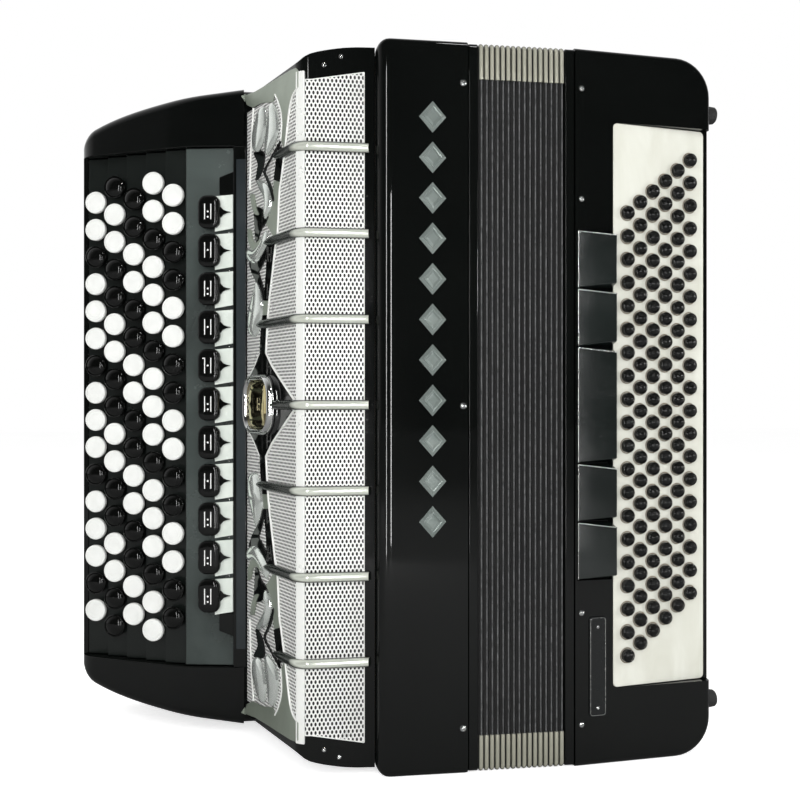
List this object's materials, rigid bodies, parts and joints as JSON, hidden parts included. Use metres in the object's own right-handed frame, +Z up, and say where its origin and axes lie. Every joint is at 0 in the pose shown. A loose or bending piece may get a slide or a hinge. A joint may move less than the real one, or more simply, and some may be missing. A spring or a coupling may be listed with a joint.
{
  "type": "button accordion",
  "caption": "Chromatic button accordion: stepped treble button deck, wrapped grille with chrome bars, folded bellows, bass box with buttons, registers and hand strap.",
  "frame": {"origin": "middle of the base, on the surface that the instrument stands on", "axes": "+Z up, +X from the treble keyboard to the bass end, +Y from the front to the player"},
  "size_m": [0.4486, 0.2182, 0.445],
  "materials": {
    "black_lacquer": "high gloss",
    "black_plastic": "glossy",
    "chrome": "polished",
    "satin_steel": "satin",
    "white_pearl": "pearlescent",
    "cream": "satin",
    "golden_mirror": "mirror",
    "bellows_cloth": "waxed",
    "strap_leather": "smooth",
    "rubber": "matte",
    "reed_wood": "sealed"
  },
  "bodies": {
    "treble": {"treble_case": "black_lacquer", "treble_soundboard": "reed_wood", "treble_reeds_front": "reed_wood", "treble_reeds_back": "reed_wood", "treble_bellows_frame": "black_lacquer", "bellows": "bellows_cloth", "grille_housing": "black_lacquer", "grille_screen": "satin_steel", "grille_bars": "chrome", "grille_inlay": "black_plastic", "scroll_upper": "satin_steel", "scroll_lower": "satin_steel", "badge_bezel": "chrome", "badge_insert": "golden_mirror", "keyboard_body": "black_lacquer", "fingerboard": "black_plastic", "register_rail": "black_plastic", "strap_bracket_upper": "chrome", "strap_bracket_lower": "chrome"},
    "bass": {"bass_bellows_frame": "black_lacquer", "bass_case": "black_lacquer", "bass_soundboard": "reed_wood", "bass_reeds": "reed_wood", "bass_button_plate": "cream", "bass_back_cover": "black_plastic", "bass_strap": "strap_leather", "strap_anchor": "black_plastic", "bass_foot_1": "rubber", "bass_foot_2": "rubber", "bass_foot_3": "rubber", "bass_foot_4": "rubber"},
    "treble_register_1": {"treble_register_1": "black_plastic"},
    "treble_register_2": {"treble_register_2": "black_plastic"},
    "treble_register_3": {"treble_register_3": "black_plastic"},
    "treble_register_4": {"treble_register_4": "black_plastic"},
    "treble_register_5": {"treble_register_5": "black_plastic"},
    "treble_register_6": {"treble_register_6": "black_plastic"},
    "treble_register_7": {"treble_register_7": "black_plastic"},
    "treble_register_8": {"treble_register_8": "black_plastic"},
    "treble_register_9": {"treble_register_9": "black_plastic"},
    "treble_register_10": {"treble_register_10": "black_plastic"},
    "treble_register_11": {"treble_register_11": "black_plastic"},
    "treble_button_row_1": {"treble_button_row_1": "black_plastic"},
    "treble_button_row_2": {"treble_button_row_2": "white_pearl"},
    "treble_button_row_3": {"treble_button_row_3": "black_plastic"},
    "treble_button_row_4": {"treble_button_row_4": "white_pearl"},
    "treble_button_row_5": {"treble_button_row_5": "black_plastic"},
    "bass_register_1": {"bass_register_1": "black_plastic"},
    "bass_register_2": {"bass_register_2": "black_plastic"},
    "bass_register_3": {"bass_register_3": "black_plastic"},
    "bass_register_4": {"bass_register_4": "black_plastic"},
    "bass_register_5": {"bass_register_5": "black_plastic"},
    "bass_button_column_1": {"bass_button_column_1": "black_plastic"},
    "bass_button_column_2": {"bass_button_column_2": "black_plastic"},
    "bass_button_column_3": {"bass_button_column_3": "black_plastic"},
    "bass_button_column_4": {"bass_button_column_4": "black_plastic"},
    "bass_button_column_5": {"bass_button_column_5": "black_plastic"},
    "bass_button_column_6": {"bass_button_column_6": "black_plastic"},
    "air_button": {"air_button": "chrome"},
    "strap_wheel": {"strap_wheel": "black_plastic"}
  },
  "joints": [
    {"name": "bellows_open", "type": "slide", "parent": "treble", "child": "bass", "axis": [1, 0, 0], "range_m": [0, 0.4], "deforming": ["bellows"]},
    {"name": "treble_register_1_rock", "type": "hinge", "parent": "treble", "child": "treble_register_1", "pos_m": [-0.11955, -0.01002, 0.0948], "axis": [0, 0, -1], "range_deg": [0, 5], "stiffness_Nm_per_rad": 0.3, "springref_deg": -4.58},
    {"name": "treble_register_2_rock", "type": "hinge", "parent": "treble", "child": "treble_register_2", "pos_m": [-0.11955, -0.01002, 0.1207], "axis": [0, 0, -1], "range_deg": [0, 5], "stiffness_Nm_per_rad": 0.3, "springref_deg": -4.58},
    {"name": "treble_register_3_rock", "type": "hinge", "parent": "treble", "child": "treble_register_3", "pos_m": [-0.11955, -0.01002, 0.1466], "axis": [0, 0, -1], "range_deg": [0, 5], "stiffness_Nm_per_rad": 0.3, "springref_deg": -4.58},
    {"name": "treble_register_4_rock", "type": "hinge", "parent": "treble", "child": "treble_register_4", "pos_m": [-0.11955, -0.01002, 0.1725], "axis": [0, 0, -1], "range_deg": [0, 5], "stiffness_Nm_per_rad": 0.3, "springref_deg": -4.58},
    {"name": "treble_register_5_rock", "type": "hinge", "parent": "treble", "child": "treble_register_5", "pos_m": [-0.11955, -0.01002, 0.1984], "axis": [0, 0, -1], "range_deg": [0, 5], "stiffness_Nm_per_rad": 0.3, "springref_deg": -4.58},
    {"name": "treble_register_6_rock", "type": "hinge", "parent": "treble", "child": "treble_register_6", "pos_m": [-0.11955, -0.01002, 0.2243], "axis": [0, 0, -1], "range_deg": [0, 5], "stiffness_Nm_per_rad": 0.3, "springref_deg": -4.58},
    {"name": "treble_register_7_rock", "type": "hinge", "parent": "treble", "child": "treble_register_7", "pos_m": [-0.11955, -0.01002, 0.2502], "axis": [0, 0, -1], "range_deg": [0, 5], "stiffness_Nm_per_rad": 0.3, "springref_deg": -4.58},
    {"name": "treble_register_8_rock", "type": "hinge", "parent": "treble", "child": "treble_register_8", "pos_m": [-0.11955, -0.01002, 0.2761], "axis": [0, 0, -1], "range_deg": [0, 5], "stiffness_Nm_per_rad": 0.3, "springref_deg": -4.58},
    {"name": "treble_register_9_rock", "type": "hinge", "parent": "treble", "child": "treble_register_9", "pos_m": [-0.11955, -0.01002, 0.302], "axis": [0, 0, -1], "range_deg": [0, 5], "stiffness_Nm_per_rad": 0.3, "springref_deg": -4.58},
    {"name": "treble_register_10_rock", "type": "hinge", "parent": "treble", "child": "treble_register_10", "pos_m": [-0.11955, -0.01002, 0.3279], "axis": [0, 0, -1], "range_deg": [0, 5], "stiffness_Nm_per_rad": 0.3, "springref_deg": -4.58},
    {"name": "treble_register_11_rock", "type": "hinge", "parent": "treble", "child": "treble_register_11", "pos_m": [-0.11955, -0.01002, 0.3538], "axis": [0, 0, -1], "range_deg": [0, 5], "stiffness_Nm_per_rad": 0.3, "springref_deg": -4.58},
    {"name": "treble_button_row_1_press", "type": "slide", "parent": "treble", "child": "treble_button_row_1", "axis": [0.342, 0.9397, 0], "range_m": [0, 0.0035], "stiffness_N_per_m": 150, "springref_m": -0.002},
    {"name": "treble_button_row_2_press", "type": "slide", "parent": "treble", "child": "treble_button_row_2", "axis": [0.342, 0.9397, 0], "range_m": [0, 0.0035], "stiffness_N_per_m": 150, "springref_m": -0.002},
    {"name": "treble_button_row_3_press", "type": "slide", "parent": "treble", "child": "treble_button_row_3", "axis": [0.342, 0.9397, 0], "range_m": [0, 0.0035], "stiffness_N_per_m": 150, "springref_m": -0.002},
    {"name": "treble_button_row_4_press", "type": "slide", "parent": "treble", "child": "treble_button_row_4", "axis": [0.342, 0.9397, 0], "range_m": [0, 0.0035], "stiffness_N_per_m": 150, "springref_m": -0.002},
    {"name": "treble_button_row_5_press", "type": "slide", "parent": "treble", "child": "treble_button_row_5", "axis": [0.342, 0.9397, 0], "range_m": [0, 0.0035], "stiffness_N_per_m": 150, "springref_m": -0.002},
    {"name": "bass_register_1_rock", "type": "hinge", "parent": "bass", "child": "bass_register_1", "pos_m": [0.09263, -0.10298, 0.13355], "axis": [0, 0, 1], "range_deg": [0, 5.5], "stiffness_Nm_per_rad": 0.35, "springref_deg": -4.58},
    {"name": "bass_register_2_rock", "type": "hinge", "parent": "bass", "child": "bass_register_2", "pos_m": [0.09263, -0.10298, 0.16965], "axis": [0, 0, 1], "range_deg": [0, 5.5], "stiffness_Nm_per_rad": 0.35, "springref_deg": -4.58},
    {"name": "bass_register_3_rock", "type": "hinge", "parent": "bass", "child": "bass_register_3", "pos_m": [0.09263, -0.10298, 0.2238], "axis": [0, 0, 1], "range_deg": [0, 5.5], "stiffness_Nm_per_rad": 0.35, "springref_deg": -4.58},
    {"name": "bass_register_4_rock", "type": "hinge", "parent": "bass", "child": "bass_register_4", "pos_m": [0.09263, -0.10298, 0.27795], "axis": [0, 0, 1], "range_deg": [0, 5.5], "stiffness_Nm_per_rad": 0.35, "springref_deg": -4.58},
    {"name": "bass_register_5_rock", "type": "hinge", "parent": "bass", "child": "bass_register_5", "pos_m": [0.09263, -0.10298, 0.31405], "axis": [0, 0, 1], "range_deg": [0, 5.5], "stiffness_Nm_per_rad": 0.35, "springref_deg": -4.58},
    {"name": "bass_button_column_1_press", "type": "slide", "parent": "bass", "child": "bass_button_column_1", "axis": [-0.1845, 0.9828, 0], "range_m": [0, 0.0035], "stiffness_N_per_m": 150, "springref_m": -0.002},
    {"name": "bass_button_column_2_press", "type": "slide", "parent": "bass", "child": "bass_button_column_2", "axis": [-0.1845, 0.9828, 0], "range_m": [0, 0.0035], "stiffness_N_per_m": 150, "springref_m": -0.002},
    {"name": "bass_button_column_3_press", "type": "slide", "parent": "bass", "child": "bass_button_column_3", "axis": [-0.1845, 0.9828, 0], "range_m": [0, 0.0035], "stiffness_N_per_m": 150, "springref_m": -0.002},
    {"name": "bass_button_column_4_press", "type": "slide", "parent": "bass", "child": "bass_button_column_4", "axis": [-0.1845, 0.9828, 0], "range_m": [0, 0.0035], "stiffness_N_per_m": 150, "springref_m": -0.002},
    {"name": "bass_button_column_5_press", "type": "slide", "parent": "bass", "child": "bass_button_column_5", "axis": [-0.1845, 0.9828, 0], "range_m": [0, 0.0035], "stiffness_N_per_m": 150, "springref_m": -0.002},
    {"name": "bass_button_column_6_press", "type": "slide", "parent": "bass", "child": "bass_button_column_6", "axis": [-0.1845, 0.9828, 0], "range_m": [0, 0.0035], "stiffness_N_per_m": 150, "springref_m": -0.002},
    {"name": "air_button_press", "type": "slide", "parent": "bass", "child": "air_button", "axis": [-1, 0, 0], "range_m": [0, 0.004], "stiffness_N_per_m": 250, "springref_m": -0.003},
    {"name": "strap_wheel_turn", "type": "hinge", "parent": "bass", "child": "strap_wheel", "pos_m": [0.17345, 0.02977, 0.406], "axis": [0, 0, 1], "continuous": true}
  ]
}
